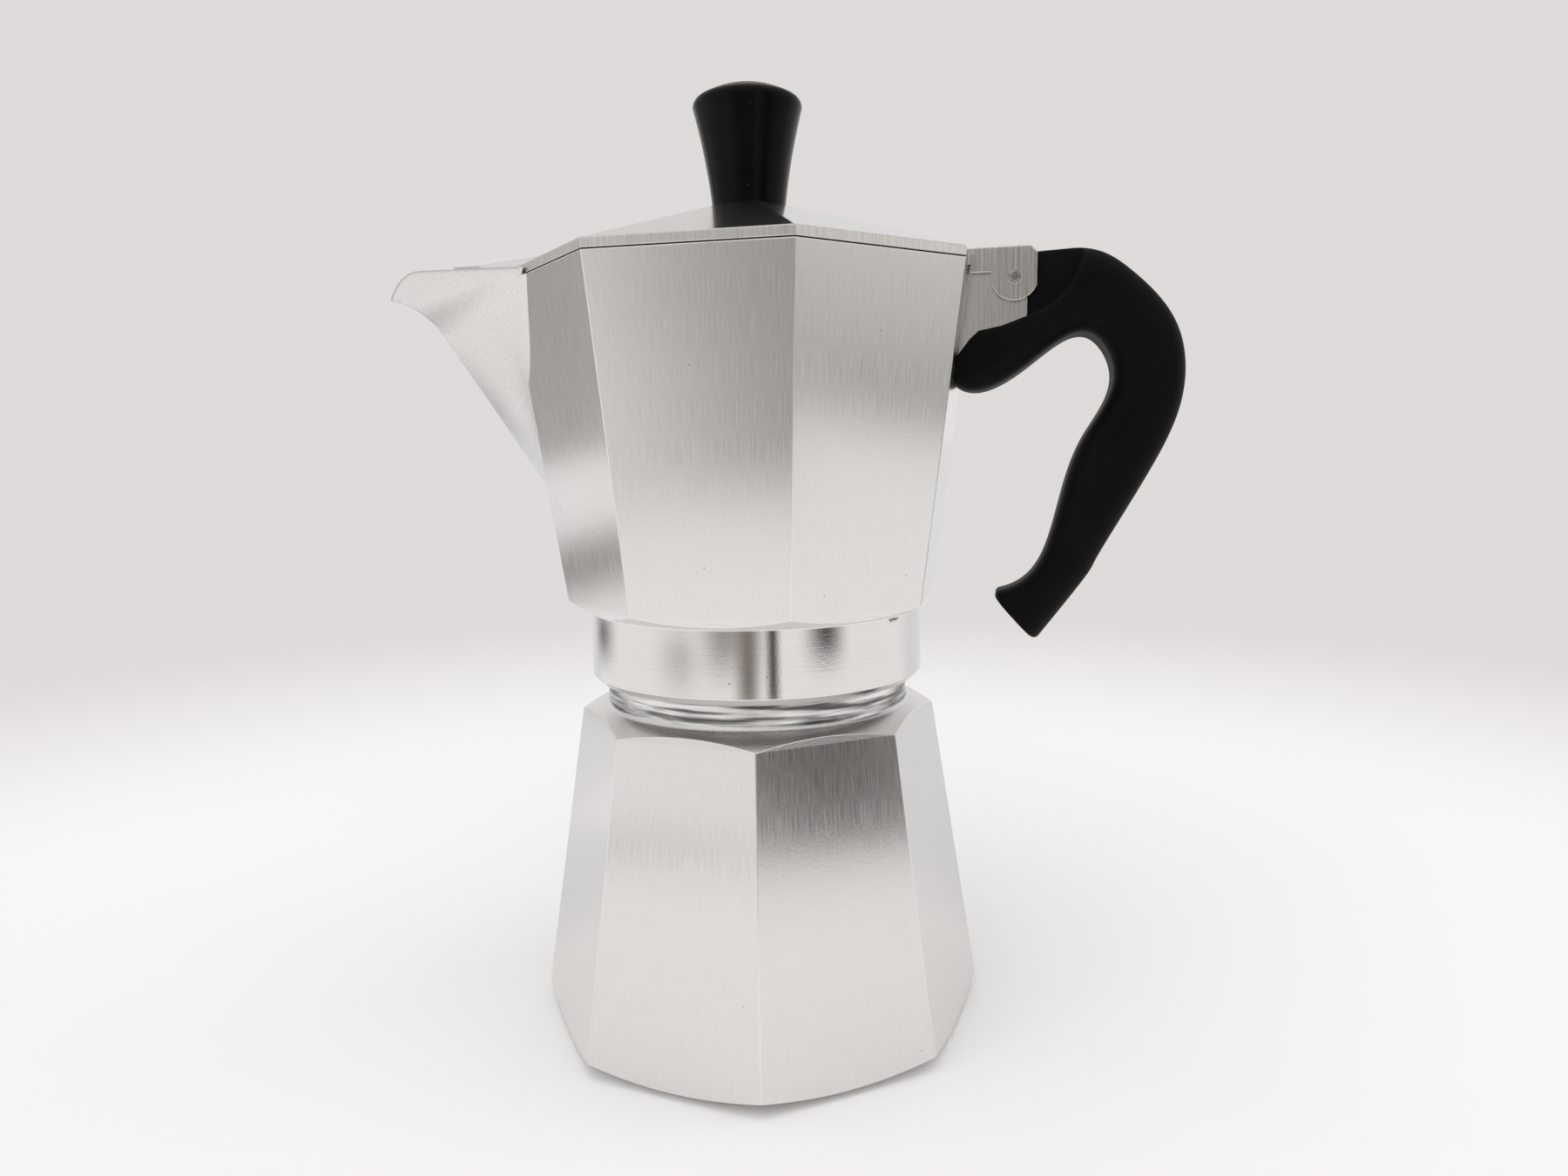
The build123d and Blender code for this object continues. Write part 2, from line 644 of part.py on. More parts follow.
with BuildPart() as collector:
    with BuildSketch(Plane.XY.offset(cone_foot)):
        RegularPolygon(collector_corner(cone_foot), flat_count, rotation=flat_turn)
    with BuildSketch(Plane.XY.offset(collector_rim_height)):
        RegularPolygon(collector_top_radius, flat_count, rotation=flat_turn)
    loft()
    with BuildSketch(Plane.XZ):
        with BuildLine():
            Polyline(
                (0, cone_foot),
                (cone_foot_radius, cone_foot),
                (cone_wide, cone_wide_height),
                (cone_wide, collector_rim_height),
                (0, collector_rim_height),
                close=True,
            )
        make_face()
    revolve(axis=Axis.Z, mode=Mode.INTERSECT)
    with BuildSketch(Plane.XZ):
        with BuildLine():
            Polyline(
                (0, collar_bottom_height),
                (collar_radius - collar_edge, collar_bottom_height),
                (collar_radius, collar_bottom_height + collar_edge),
                (collar_radius, collar_top),
                (0, collar_top),
                close=True,
            )
        make_face()
    revolve(axis=Axis.Z)
    add(spout_form.part)
    with BuildSketch(Plane.XY.offset(collector_rim_height)):
        RegularPolygon(collector_top_radius + loose_gap, flat_count, rotation=flat_turn)
    extrude(amount=spout_top - collector_rim_height, mode=Mode.SUBTRACT)
    with BuildSketch(Plane.XZ) as lug_side:
        with BuildLine():
            Polyline(
                (lug_start, lug_bottom),
                (lug_reach, lug_toe),
                (lug_reach, lug_top),
                (lug_start, lug_top),
                close=True,
            )
        make_face()
        lug_tip = lug_side.vertices().sort_by_distance((lug_reach, lug_top))[0]
        fillet(lug_tip, radius=lug_eye_radius - pocket_gap)
        with Locations((hinge_reach, hinge_height)):
            Circle(pin_radius + fit_gap, mode=Mode.SUBTRACT)
    extrude(amount=lug_half_width, both=True)
    with BuildSketch(Plane.XZ):
        with BuildLine():
            Polyline(
                (slot_start, lug_bottom),
                (lug_reach + loose_gap, lug_bottom),
                (lug_reach + loose_gap, lug_top + loose_gap),
                (slot_start, lug_top + loose_gap),
                close=True,
            )
        make_face()
    extrude(amount=lug_slot_half_width, both=True, mode=Mode.SUBTRACT)
    add(collector_core.part, mode=Mode.SUBTRACT)
    add(spout_core.part, mode=Mode.SUBTRACT)
    with BuildSketch(Plane.XZ):
        with BuildLine():
            Polyline(
                (0, collar_bottom_height),
                (collar_bore_radius, collar_bottom_height),
                (collar_bore_radius, neck_rim_height + loose_gap),
                (gasket_recess_radius, neck_rim_height + loose_gap),
                (gasket_recess_radius, collector_seat),
                (gasket_bore_radius, collector_seat),
                (column_shoulder_radius, chamber_top),
                (0, chamber_top),
                close=True,
            )
        make_face()
    revolve(axis=Axis.Z, mode=Mode.SUBTRACT)
    with Locations((0, 0, chamber_top)):
        Cylinder(
            column_foot_radius + fit_gap,
            collector_rim_height - chamber_top,
            align=(Align.CENTER, Align.CENTER, Align.MIN),
            mode=Mode.SUBTRACT,
        )
write(collector, "collector")

# Coffee column, pressed into the middle of the collector's floor
column_base = floor_edge + floor_rise
column_top = column_base + column_height
window_top = column_top - column_top_radius
with BuildPart() as coffee_column:
    with BuildSketch(Plane.XZ):
        with BuildLine():
            outside = Polyline(
                (0, chamber_top),
                (column_foot_radius, chamber_top),
                (column_foot_radius, column_base + seat_gap),
                (column_shoulder_radius, column_base + seat_gap),
                (column_shoulder_radius, column_base + collector_wall),
                (column_top_radius, window_top),
            )
            RadiusArc(outside @ 1, (0, column_top), -column_top_radius)
            Line((0, column_top), (0, chamber_top))
        make_face()
    revolve(axis=Axis.Z)
    with Locations((0, 0, chamber_top)):
        Cylinder(
            column_bore_radius,
            window_top - chamber_top,
            align=(Align.CENTER, Align.CENTER, Align.MIN),
            mode=Mode.SUBTRACT,
        )
    with Locations((0, 0, window_top - column_window_height / 2)):
        Box(4 * column_top_radius, column_window_width, column_window_height, mode=Mode.SUBTRACT)
write(coffee_column, "coffee_column")

# Lid: an outer form and an inner core, each a low roof with a gable over the spout
lid_edge = lid_seat + lid_rim
lid_top_height = lid_edge + lid_rise
gable_tip = spout_reach - gable_setback
gable_tip_height = lid_edge + gable_tip_rise
gable_root = collector_top_radius - gable_root_setback
gable_shoulder = spout_reach - gable_shoulder_setback
roof_run = collector_top_radius * flat_share - lid_boss_radius
roof_drop = lid_wall / cos(atan2(lid_rise, roof_run))
ridge_slope = (lid_top_height - gable_tip_height) / (gable_tip - lid_boss_radius)
ear_under = lid_seat - hinge_height
web_foot = hinge_stand_off + lid_wall / 2
web_start = hinge_stand_off + 3 * lid_wall
web_under = lid_edge - hinge_height
rim_root_reach, rim_root_width = spout_root(collector_rim_height)
spout_half_angle = atan2(rim_root_width, spout_reach - rim_root_reach)
gable_inset = (spout_wall + loose_gap) / cos(spout_half_angle)


def gable_width(reach):
    """Half width of the gable inside the spout's walls."""
    return (spout_reach - reach) * tan(spout_half_angle) - gable_inset


gable_plan = (
    (-lid_boss_radius, -lid_boss_radius),
    (-gable_root, -gable_width(gable_root)),
    (-gable_shoulder, -gable_width(gable_shoulder)),
    (-gable_tip, 0),
    (-gable_shoulder, gable_width(gable_shoulder)),
    (-gable_root, gable_width(gable_root)),
    (-lid_boss_radius, lid_boss_radius),
)


def roof_plane(side, drop):
    """One slope of the gable; side is 1 for +Y and -1 for -Y."""
    return Plane(
        origin=(-lid_boss_radius, 0, lid_top_height - drop),
        z_dir=(-ridge_slope, side * gable_slope, 1),
    )


gable_floor = lid_edge - lid_rim
with BuildPart() as gable_form:
    with BuildSketch(Plane.XY.offset(gable_floor)):
        with BuildLine():
            Polyline(*gable_plan, close=True)
        make_face()
    extrude(amount=lid_top_height - gable_floor)
    split(bisect_by=roof_plane(1, 0), keep=Keep.BOTTOM)
    split(bisect_by=roof_plane(-1, 0), keep=Keep.BOTTOM)

with BuildPart() as gable_core:
    with BuildSketch(Plane.XY.offset(gable_floor - lid_rim)):
        with BuildLine():
            Polyline(*gable_plan, close=True)
        make_face()
        offset(amount=loose_gap / 2)
    extrude(amount=lid_top_height - gable_floor)
    split(bisect_by=roof_plane(1, roof_drop), keep=Keep.BOTTOM)
    split(bisect_by=roof_plane(-1, roof_drop), keep=Keep.BOTTOM)

with BuildPart() as lid:
    with BuildSketch(Plane.XY.offset(lid_seat)):
        RegularPolygon(collector_top_radius, flat_count, rotation=flat_turn)
    extrude(amount=lid_rim)
    with BuildSketch(Plane.XY.offset(lid_edge)):
        RegularPolygon(collector_top_radius, flat_count, rotation=flat_turn)
    with BuildSketch(Plane.XY.offset(lid_top_height)):
        RegularPolygon(lid_boss_radius, flat_count, rotation=flat_turn)
    loft()
    add(gable_form.part)
    with BuildSketch(Plane.XY.offset(lid_edge - roof_drop)):
        RegularPolygon(collector_top_radius - lid_wall, flat_count, rotation=flat_turn)
    with BuildSketch(Plane.XY.offset(lid_top_height - roof_drop)):
        RegularPolygon(lid_boss_radius, flat_count, rotation=flat_turn)
    loft(mode=Mode.SUBTRACT)
    with BuildSketch(Plane.XY.offset(lid_seat)):
        RegularPolygon(collector_top_radius - lid_wall, flat_count, rotation=flat_turn)
    extrude(amount=lid_edge - roof_drop - lid_seat, mode=Mode.SUBTRACT)
    add(gable_core.part, mode=Mode.SUBTRACT)
    with Locations((0, 0, lid_top_height)):
        Cylinder(screw_radius + loose_gap / 2, 4 * lid_wall, mode=Mode.SUBTRACT)
    with BuildSketch(hinge_plane):
        with BuildLine():
            Polyline(
                (-web_reach, ear_under),
                (-web_reach, ear_top_rise),
                (-web_start, ear_top_rise),
                (-web_start, web_under),
                (-web_foot, web_under),
                (-web_foot, ear_under),
                close=True,
            )
        make_face()
    extrude(amount=ear_outside, both=True)
    with BuildSketch(hinge_plane.offset(ear_inside), hinge_plane.offset(-ear_outside)):
        with BuildLine():
            Polyline(
                (-ear_root, ear_neck_rise),
                (-ear_root, ear_under),
                (-web_foot, ear_under),
                (-web_foot, ear_top_rise),
                (ear_flat - ear_corner, ear_top_rise),
                (ear_flat, ear_top_rise - ear_corner),
                (ear_flat, 0),
                (-ear_radius, 0),
                (-ear_radius, ear_neck_rise),
                close=True,
            )
        make_face()
        Circle(ear_radius)
        with Locations((ear_flat, 0)):
            Rectangle(ear_radius, 2 * ear_radius, align=(Align.MIN, Align.CENTER), mode=Mode.SUBTRACT)
        Circle(pin_radius + running_gap, mode=Mode.SUBTRACT)
    extrude(amount=ear_thickness)
write(lid, "lid")

# Knob, screwed on from under the lid
knob_seat = lid_top_height + seat_gap
with BuildPart() as knob:
    with BuildSketch(Plane(origin=(0, 0, knob_seat), x_dir=(1, 0, 0), z_dir=(0, -1, 0))):
        with BuildLine():
            Polyline((0, knob_height), (0, 0), (knob_foot_radius, 0))
            flank = ThreePointArc(
                (knob_foot_radius, 0),
                (knob_waist_radius, knob_waist_height),
                (knob_brim_radius, knob_brim_height),
            )
            Spline(
                flank @ 1,
                (knob_crown_radius, knob_crown_height),
                (0, knob_height),
                tangents=((0, 1), (-1, 0)),
            )
        make_face()
    revolve(axis=Axis.Z)
    with Locations((0, 0, knob_seat)):
        Cylinder(
            insert_radius + fit_gap,
            insert_length + seat_gap,
            align=(Align.CENTER, Align.CENTER, Align.MIN),
            mode=Mode.SUBTRACT,
        )
write(knob, "knob")

with BuildPart() as knob_insert:
    with BuildSketch(Plane.XY.offset(knob_seat)):
        Circle(insert_radius)
        Circle(screw_radius + fit_gap, mode=Mode.SUBTRACT)
    extrude(amount=insert_length)
write(knob_insert, "knob_insert")

washer_face = lid_top_height - roof_drop - seat_gap
with BuildPart() as knob_washer:
    with BuildSketch(Plane.XY.offset(washer_face)):
        Circle(washer_radius)
        Circle(screw_radius + running_gap, mode=Mode.SUBTRACT)
    extrude(amount=-washer_thickness)
write(knob_washer, "knob_washer")

head_face = washer_face - washer_thickness - seat_gap
with BuildPart() as knob_screw:
    with BuildSketch(Plane.XY.offset(head_face)):
        Circle(screw_radius)
    extrude(amount=screw_length)
    with BuildSketch(Plane.XY.offset(head_face)):
        Circle(screw_head_radius)
    extrude(amount=-screw_head_height)
    fillet(knob_screw.edges().group_by(Axis.Z)[0], radius=screw_head_height / 2)
    with Locations((0, 0, head_face - screw_head_height)):
        Box(3 * screw_head_radius, screw_slot_width, screw_head_height, mode=Mode.SUBTRACT)
write(knob_screw, "knob_screw")

# Hinge pin, through the lid's ears, the lug's cheeks and the handle's tongue
with BuildPart() as hinge_pin:
    with BuildSketch(hinge_plane):
        Circle(pin_radius)
    extrude(amount=ear_outside + pin_show, both=True)
    chamfer(hinge_pin.edges().filter_by(GeomType.CIRCLE), length=pin_show)
write(hinge_pin, "hinge_pin")

# Handle, with a tongue between the lug's cheeks
chin_height = hinge_height - handle_chin_drop
rest_height = hinge_height - handle_rest_drop
handle_chin = (collector_corner(chin_height) * flat_share + handle_gap - hinge_reach, -handle_chin_drop)
handle_rest = (collector_corner(rest_height) * flat_share + handle_gap - hinge_reach, -handle_rest_drop)
pocket_front = lug_eye_radius + pocket_gap
pocket_back = lug_start - hinge_reach - collector_wall
tongue_start = slot_start + 2 * pocket_gap - hinge_reach
tongue_end = handle_crest[0] / 2
pocket_half_width = lug_half_width + pocket_gap
handle_end = (Vector(*handle_sole) + Vector(*handle_toe)) / 2
handle_end_point = hinge_plane.from_local_coords(handle_end)
handle_lean = (handle_half_width - handle_tip_half_width) / (handle_crest[1] - handle_sole[1])


def handle_side(side):
    """Plane of one side of the handle, which narrows from the crest to the sole."""
    return Plane(
        origin=(hinge_reach, side * handle_half_width, hinge_height + handle_crest[1]),
        z_dir=(0, side, -handle_lean),
    )


with BuildPart() as handle:
    with BuildSketch(hinge_plane.offset(-2 * handle_half_width)):
        with BuildLine():
            Line(handle_brow, handle_crest)
            Spline(handle_crest, *handle_back, handle_sole, tangents=((1, 0), (-0.6, -0.8)))
            Line(handle_sole, handle_toe)
            Spline(handle_toe, *handle_inside, handle_chin)
            Polyline(handle_chin, handle_rest, *handle_lip, handle_front_top, handle_brow)
        make_face()
    extrude(amount=4 * handle_half_width)
    split(bisect_by=handle_side(1), keep=Keep.BOTTOM)
    split(bisect_by=handle_side(-1), keep=Keep.BOTTOM)
    grip_edges = handle.edges().filter_by(lambda edge: edge.length > handle_half_width * 4)
    fillet(grip_edges, radius=handle_edge_round)
    fillet(handle.faces().sort_by_distance(handle_end_point)[0].edges(), radius=handle_corner_round)
    with BuildSketch(hinge_plane.offset(lug_half_width), hinge_plane.offset(-3 * lug_half_width)):
        with BuildLine():
            Polyline(recess_curve[-1], (recess_curve[-1][0], recess_top[1]), recess_top)
            Spline(recess_top, *recess_curve)
        make_face()
    extrude(amount=2 * lug_half_width, mode=Mode.SUBTRACT)
    with BuildSketch(hinge_plane):
        with BuildLine():
            Polyline(
                (tongue_start, -lug_toe_drop),
                (tongue_start, -ear_radius),
                (-lug_eye_radius, lug_eye_radius - pocket_gap),
                (tongue_end, lug_eye_radius - pocket_gap),
                (tongue_end, -lug_toe_drop),
                close=True,
            )
        make_face()
    extrude(amount=tongue_half_width, both=True)
    with BuildSketch(hinge_plane.offset(tongue_half_width), hinge_plane.offset(-pocket_half_width)):
        with BuildLine():
            Polyline(
                (pocket_back, -lug_drop - pocket_gap),
                (lug_start - hinge_reach, -lug_drop - pocket_gap),
                (pocket_front, -lug_toe_drop - pocket_gap),
                (pocket_front, handle_front_top[1]),
                (pocket_back, handle_front_top[1]),
                close=True,
            )
        make_face()
    extrude(amount=pocket_half_width - tongue_half_width, mode=Mode.SUBTRACT)
    with BuildSketch(hinge_plane):
        with BuildLine():
            Polyline(
                (pocket_back, -lug_drop - pocket_gap),
                (tongue_start - pocket_gap, -lug_drop - pocket_gap),
                (tongue_start - pocket_gap, handle_front_top[1]),
                (pocket_back, handle_front_top[1]),
                close=True,
            )
        make_face()
    extrude(amount=pocket_half_width, both=True, mode=Mode.SUBTRACT)
    with BuildSketch(hinge_plane):
        Circle(pin_radius + fit_gap)
    extrude(amount=2 * tongue_half_width, both=True, mode=Mode.SUBTRACT)
write(handle, "handle")
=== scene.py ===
import json
from math import cos, radians

import bpy
from mathutils import Matrix, Vector


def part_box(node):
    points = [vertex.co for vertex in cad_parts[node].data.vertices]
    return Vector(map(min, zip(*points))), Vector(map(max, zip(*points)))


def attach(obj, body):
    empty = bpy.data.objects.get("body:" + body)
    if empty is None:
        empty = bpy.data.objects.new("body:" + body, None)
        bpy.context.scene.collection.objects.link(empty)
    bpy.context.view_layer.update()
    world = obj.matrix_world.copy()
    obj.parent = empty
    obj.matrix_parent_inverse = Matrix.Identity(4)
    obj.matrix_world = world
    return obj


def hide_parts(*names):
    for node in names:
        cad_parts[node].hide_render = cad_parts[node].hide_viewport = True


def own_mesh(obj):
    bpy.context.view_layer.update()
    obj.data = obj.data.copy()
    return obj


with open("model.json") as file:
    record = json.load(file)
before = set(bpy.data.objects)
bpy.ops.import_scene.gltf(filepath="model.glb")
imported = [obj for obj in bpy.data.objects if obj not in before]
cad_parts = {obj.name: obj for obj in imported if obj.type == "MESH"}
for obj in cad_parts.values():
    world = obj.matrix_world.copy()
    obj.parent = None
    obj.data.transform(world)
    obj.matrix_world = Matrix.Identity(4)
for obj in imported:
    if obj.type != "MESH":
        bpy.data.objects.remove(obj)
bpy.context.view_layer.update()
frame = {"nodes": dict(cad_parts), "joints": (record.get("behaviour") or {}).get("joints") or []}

# View: the camera stands close, about level with the middle of the collector and a little to the
# right of the front. It has a wide lens and looks down, so the sides draw in towards the table.
eye = Vector((0.059544, -0.242398, 0.133959))
eye_right = Vector((0.97748, 0.21053, -0.01467))
eye_up = Vector((-0.01271, 0.12813, 0.99168))
camera = bpy.data.objects.new("camera", bpy.data.cameras.new("camera"))
camera.data.lens = 24.03
camera.data.sensor_width = 36.0
camera.data.clip_start = 0.01
bpy.context.scene.collection.objects.link(camera)
eye_turn = Matrix((eye_right, eye_up, eye_right.cross(eye_up))).transposed()
camera.matrix_world = Matrix.Translation(eye) @ eye_turn.to_4x4()
bpy.context.scene.camera = camera
bpy.context.scene.view_settings.view_transform = "Standard"


# Studio: a pale paper sheet that fades into a pale backdrop, in soft light from all round with a
# large lamp overhead and a smaller one at the side. Past the sheet's edges a dimmer room, with
# walls, a grey board and dark screens, is painted into the world and onto the sheet for glossy rays
# only. These painted reflections light nothing, and they are what shades the bright metal.
def put(tree, kind, inputs=None, **settings):
    """A shader node with its settings, its inputs set to values or joined to other outputs."""
    made = tree.nodes.new("ShaderNode" + kind)
    for key, value in settings.items():
        setattr(made, key, value)
    for key, value in (inputs or {}).items():
        if isinstance(value, bpy.types.NodeSocket):
            tree.links.new(value, made.inputs[key])
        else:
            made.inputs[key].default_value = value
    return made


def calc(tree, operation, first, second=0.0):
    """The output of one sum on values."""
    return put(tree, "Math", {0: first, 1: second}, operation=operation).outputs[0]


def dot(tree, first, second):
    """The dot product of two vectors."""
    return put(tree, "VectorMath", {0: first, 1: second}, operation="DOT_PRODUCT").outputs["Value"]


def ramp(tree, value, start, end, low=0.0, high=1.0):
    """A smooth step of a value, from low at start to high at end."""
    ends = {"Value": value, "From Min": start, "From Max": end, "To Min": low, "To Max": high}
    return put(tree, "MapRange", ends, interpolation_type="SMOOTHSTEP").outputs[0]


def span(tree, value, places):
    """A smooth step from 0 at the first place to 1 at the second, and back to 0 by the last of more."""
    rising = ramp(tree, value, places[0], places[1])
    if len(places) == 2:
        return rising
    return calc(tree, "MULTIPLY", rising, ramp(tree, value, places[-1], places[-2]))


def mix(tree, share, first, second):
    """Two values mixed by a share."""
    return put(tree, "Mix", {0: share, 2: first, 3: second}, data_type="FLOAT").outputs[0]


def tint(tree, share, first, second):
    """Two colours mixed by a share."""
    return put(tree, "Mix", {0: share, 6: first, 7: second}, data_type="RGBA").outputs[2]


def toward(tree, bearing, angles):
    """How far something stands at a bearing round the pot."""
    return span(tree, bearing, [radians(angle) for angle in angles])


sheet_pale = (0.95, 0.945, 0.935, 1.0)
sheet_behind = (0.79, 0.79, 0.805, 1.0)
backdrop = (0.735, 0.705, 0.695, 1.0)
room_pale = (0.86, 0.855, 0.85, 1.0)
room_soft = (0.62, 0.60, 0.58, 1.0)
room_dim = (0.38, 0.365, 0.35, 1.0)
room_dark = (0.10, 0.094, 0.088, 1.0)
screen_brown = (0.25, 0.22, 0.20, 1.0)
board_grey = (0.27, 0.26, 0.25, 1.0)

# Bearings are in degrees from the handle round by the back, and distances in metres from the pot.
right_front = {"bearings": (-30, -6, 18), "distances": (0.66, 1.0, 1.9), "colour": room_dim}
left_front = {"bearings": (-152, -126, -108), "distances": (0.36, 0.50, 0.70), "colour": room_soft}
board = {"bearings": (138, 158, 182), "distances": (0.40, 0.58, 0.82), "colour": board_grey}
board_foot = {"bearings": (138, 158, 182), "distances": (0.24, 0.16), "colour": sheet_behind}
left_wall = {"bearings": (138, 157, 171), "distances": (1.2, 1.7), "colour": room_dim}
front_wall = {"bearings": (-121, -97, -58), "distances": (0.38, 0.58), "colour": room_dim}
side_screen = {"bearings": (-52, -31, -12), "distances": (0.44, 0.57), "colour": room_dark}
brown_screen = {"bearings": (-94, -82, -71), "distances": (0.24, 0.42), "colour": screen_brown}
dark_screen = {"bearings": (-73, -66.5, -60), "distances": (0.24, 0.42), "colour": room_dark}
# These patches are painted reflections, seen only in the metal; they light nothing.
painted_sheet_reflections = (right_front, left_front, board, board_foot)
painted_room_reflections = (left_wall, front_wall, side_screen, brown_screen, dark_screen)
room_front = (-135, -70, 25)
sheet_front = (-116, -102, 11, 46)
sheet_back = (29, 52, 146, 156)
far_front = (0.9, 1.5)
seen_fade = (0.24, 0.64)
mirrored_fade = (0.20, 0.42)

# Heights in the room are sines of the angle above the table.
wall_tops = (0.42, 0.12)
ceiling_edge = (0.25, 0.55)
lamp_heading = (-0.10, -0.38, 0.92)
lamp_fade = (0.98, 0.30)
room_light = 0.78

world = bpy.data.worlds.new("studio")
world.use_nodes = True
bpy.context.scene.world = world
air = world.node_tree
air.nodes.clear()
outlook = put(air, "TexCoord").outputs["Generated"]
heading = put(air, "SeparateXYZ", {0: outlook}).outputs
bearing = calc(air, "ARCTAN2", heading["Y"], heading["X"])
low_down = span(air, heading["Z"], wall_tops)
high_up = span(air, heading["Z"], ceiling_edge)
far_ceiling = calc(air, "MULTIPLY", high_up, span(air, dot(air, outlook, lamp_heading), lamp_fade))
ceiling = tint(air, far_ceiling, room_pale, room_soft)
in_front = calc(air, "MULTIPLY", toward(air, bearing, room_front), low_down)
room = tint(air, in_front, ceiling, room_soft)
for thing in painted_room_reflections:
    shaded = calc(air, "MULTIPLY", toward(air, bearing, thing["bearings"]), low_down)
    room = tint(air, shaded, room, thing["colour"])
ray = put(air, "LightPath").outputs
seen = tint(air, ray["Is Camera Ray"], room, backdrop)
lighting = put(air, "Background", {"Color": room_pale, "Strength": room_light}).outputs[0]
showing = put(air, "Background", {"Color": seen}).outputs[0]
direct = calc(air, "MAXIMUM", ray["Is Camera Ray"], ray["Is Glossy Ray"])
surround = put(air, "MixShader", {0: direct, 1: lighting, 2: showing}).outputs[0]
put(air, "OutputWorld", {"Surface": surround})

sheet_size = 24.0
sheet_drop = 0.0002
bpy.ops.object.select_all(action="DESELECT")
bpy.ops.mesh.primitive_plane_add(size=sheet_size, location=(0.0, 0.0, -sheet_drop))
sheet = bpy.context.object
sheet.name = "sheet"
paper = bpy.data.materials.new("pale_paper")
paper.use_nodes = True
tree = paper.node_tree
tree.nodes.clear()
spot = put(tree, "TexCoord").outputs["Object"]
away = put(tree, "VectorMath", {0: spot}, operation="LENGTH").outputs["Value"]
axes = put(tree, "SeparateXYZ", {0: spot}).outputs
ray = put(tree, "LightPath").outputs
bearing = calc(tree, "ARCTAN2", axes["Y"], axes["X"])
painted_reflection = tint(tree, toward(tree, bearing, sheet_back), sheet_pale, sheet_behind)
in_front = calc(tree, "MULTIPLY", toward(tree, bearing, sheet_front), span(tree, away, far_front))
painted_reflection = tint(tree, in_front, painted_reflection, room_soft)
for thing in painted_sheet_reflections + painted_room_reflections:
    reached = span(tree, away, thing["distances"])
    shaded = calc(tree, "MULTIPLY", toward(tree, bearing, thing["bearings"]), reached)
    painted_reflection = tint(tree, shaded, painted_reflection, thing["colour"])
# For glossy rays the sheet shows the painted room shades, near by in its own light and far off as a painted
# glow; the camera sees pale paper fading to the backdrop.
near_colour = tint(tree, ray["Is Glossy Ray"], sheet_pale, painted_reflection)
far_colour = tint(tree, ray["Is Camera Ray"], painted_reflection, backdrop)
matt = put(tree, "BsdfDiffuse", {"Color": near_colour}).outputs[0]
painted_glow = put(tree, "Emission", {"Color": far_colour}).outputs[0]
seen_far = calc(tree, "MULTIPLY", span(tree, away, seen_fade), ray["Is Camera Ray"])
mirrored_far = calc(tree, "MULTIPLY", span(tree, away, mirrored_fade), ray["Is Glossy Ray"])
far = calc(tree, "MAXIMUM", seen_far, mirrored_far)
ground = put(tree, "MixShader", {0: far, 1: matt, 2: painted_glow}).outputs[0]
put(tree, "OutputMaterial", {"Surface": ground})
sheet.data.materials.append(paper)

for name, place, size, power in (
    ("overhead_lamp", (-0.15, -0.55, 1.35), 1.8, 10.0),
    ("side_lamp", (1.10, 0.45, 0.85), 1.0, 2.4),
):
    lamp = bpy.data.objects.new(name, bpy.data.lights.new(name, "AREA"))
    lamp.data.size = size
    lamp.data.energy = power
    lamp.visible_glossy = False
    lamp.location = place
    lamp.rotation_euler = (-Vector(place)).to_track_quat("-Z", "Y").to_euler()
    bpy.context.scene.collection.objects.link(lamp)


# Boiler: one aluminium casting. The eight flats are linished upright to a satin grain, and the
# shoulder, neck and foot are turned bright, with the neck's tool marks painted as very dark streaks
# of painted shade and painted reflection. Inside it keeps the dull skin of the mould.
def group(name, inputs, outputs):
    """A new node group with its sockets, and the sockets of its input and output nodes."""
    made = bpy.data.node_groups.new(name, "ShaderNodeTree")
    for label, kind in inputs:
        made.interface.new_socket(label, in_out="INPUT", socket_type="NodeSocket" + kind)
    for label, kind in outputs:
        made.interface.new_socket(label, in_out="OUTPUT", socket_type="NodeSocket" + kind)
    given = made.nodes.new("NodeGroupInput").outputs
    return made, given, made.nodes.new("NodeGroupOutput").inputs


def effect(tree, name, **inputs):
    """The outputs of a node group placed in a material with its own values."""
    return put(tree, "Group", inputs, node_tree=bpy.data.node_groups[name]).outputs


def noise(tree, place, scale, detail, **more):
    """A cloudy value between 0 and 1 over a place."""
    return put(tree, "TexNoise", {"Vector": place, "Scale": scale, "Detail": detail, **more}).outputs[0]


grain, given, result = group(
    "linished_grain",
    (("Place", "Vector"), ("Across", "Float"), ("Along", "Float")),
    (("Streaks", "Float"),),
)
axes = put(grain, "SeparateXYZ", {0: given["Place"]}).outputs
across = calc(grain, "MULTIPLY", calc(grain, "ARCTAN2", axes["Y"], axes["X"]), given["Across"])
along = calc(grain, "MULTIPLY", axes["Z"], given["Along"])
drawn = put(grain, "CombineXYZ", {"X": across, "Y": along}).outputs[0]
grain.links.new(noise(grain, drawn, scale=1.0, detail=4.0, Roughness=0.7), result["Streaks"])

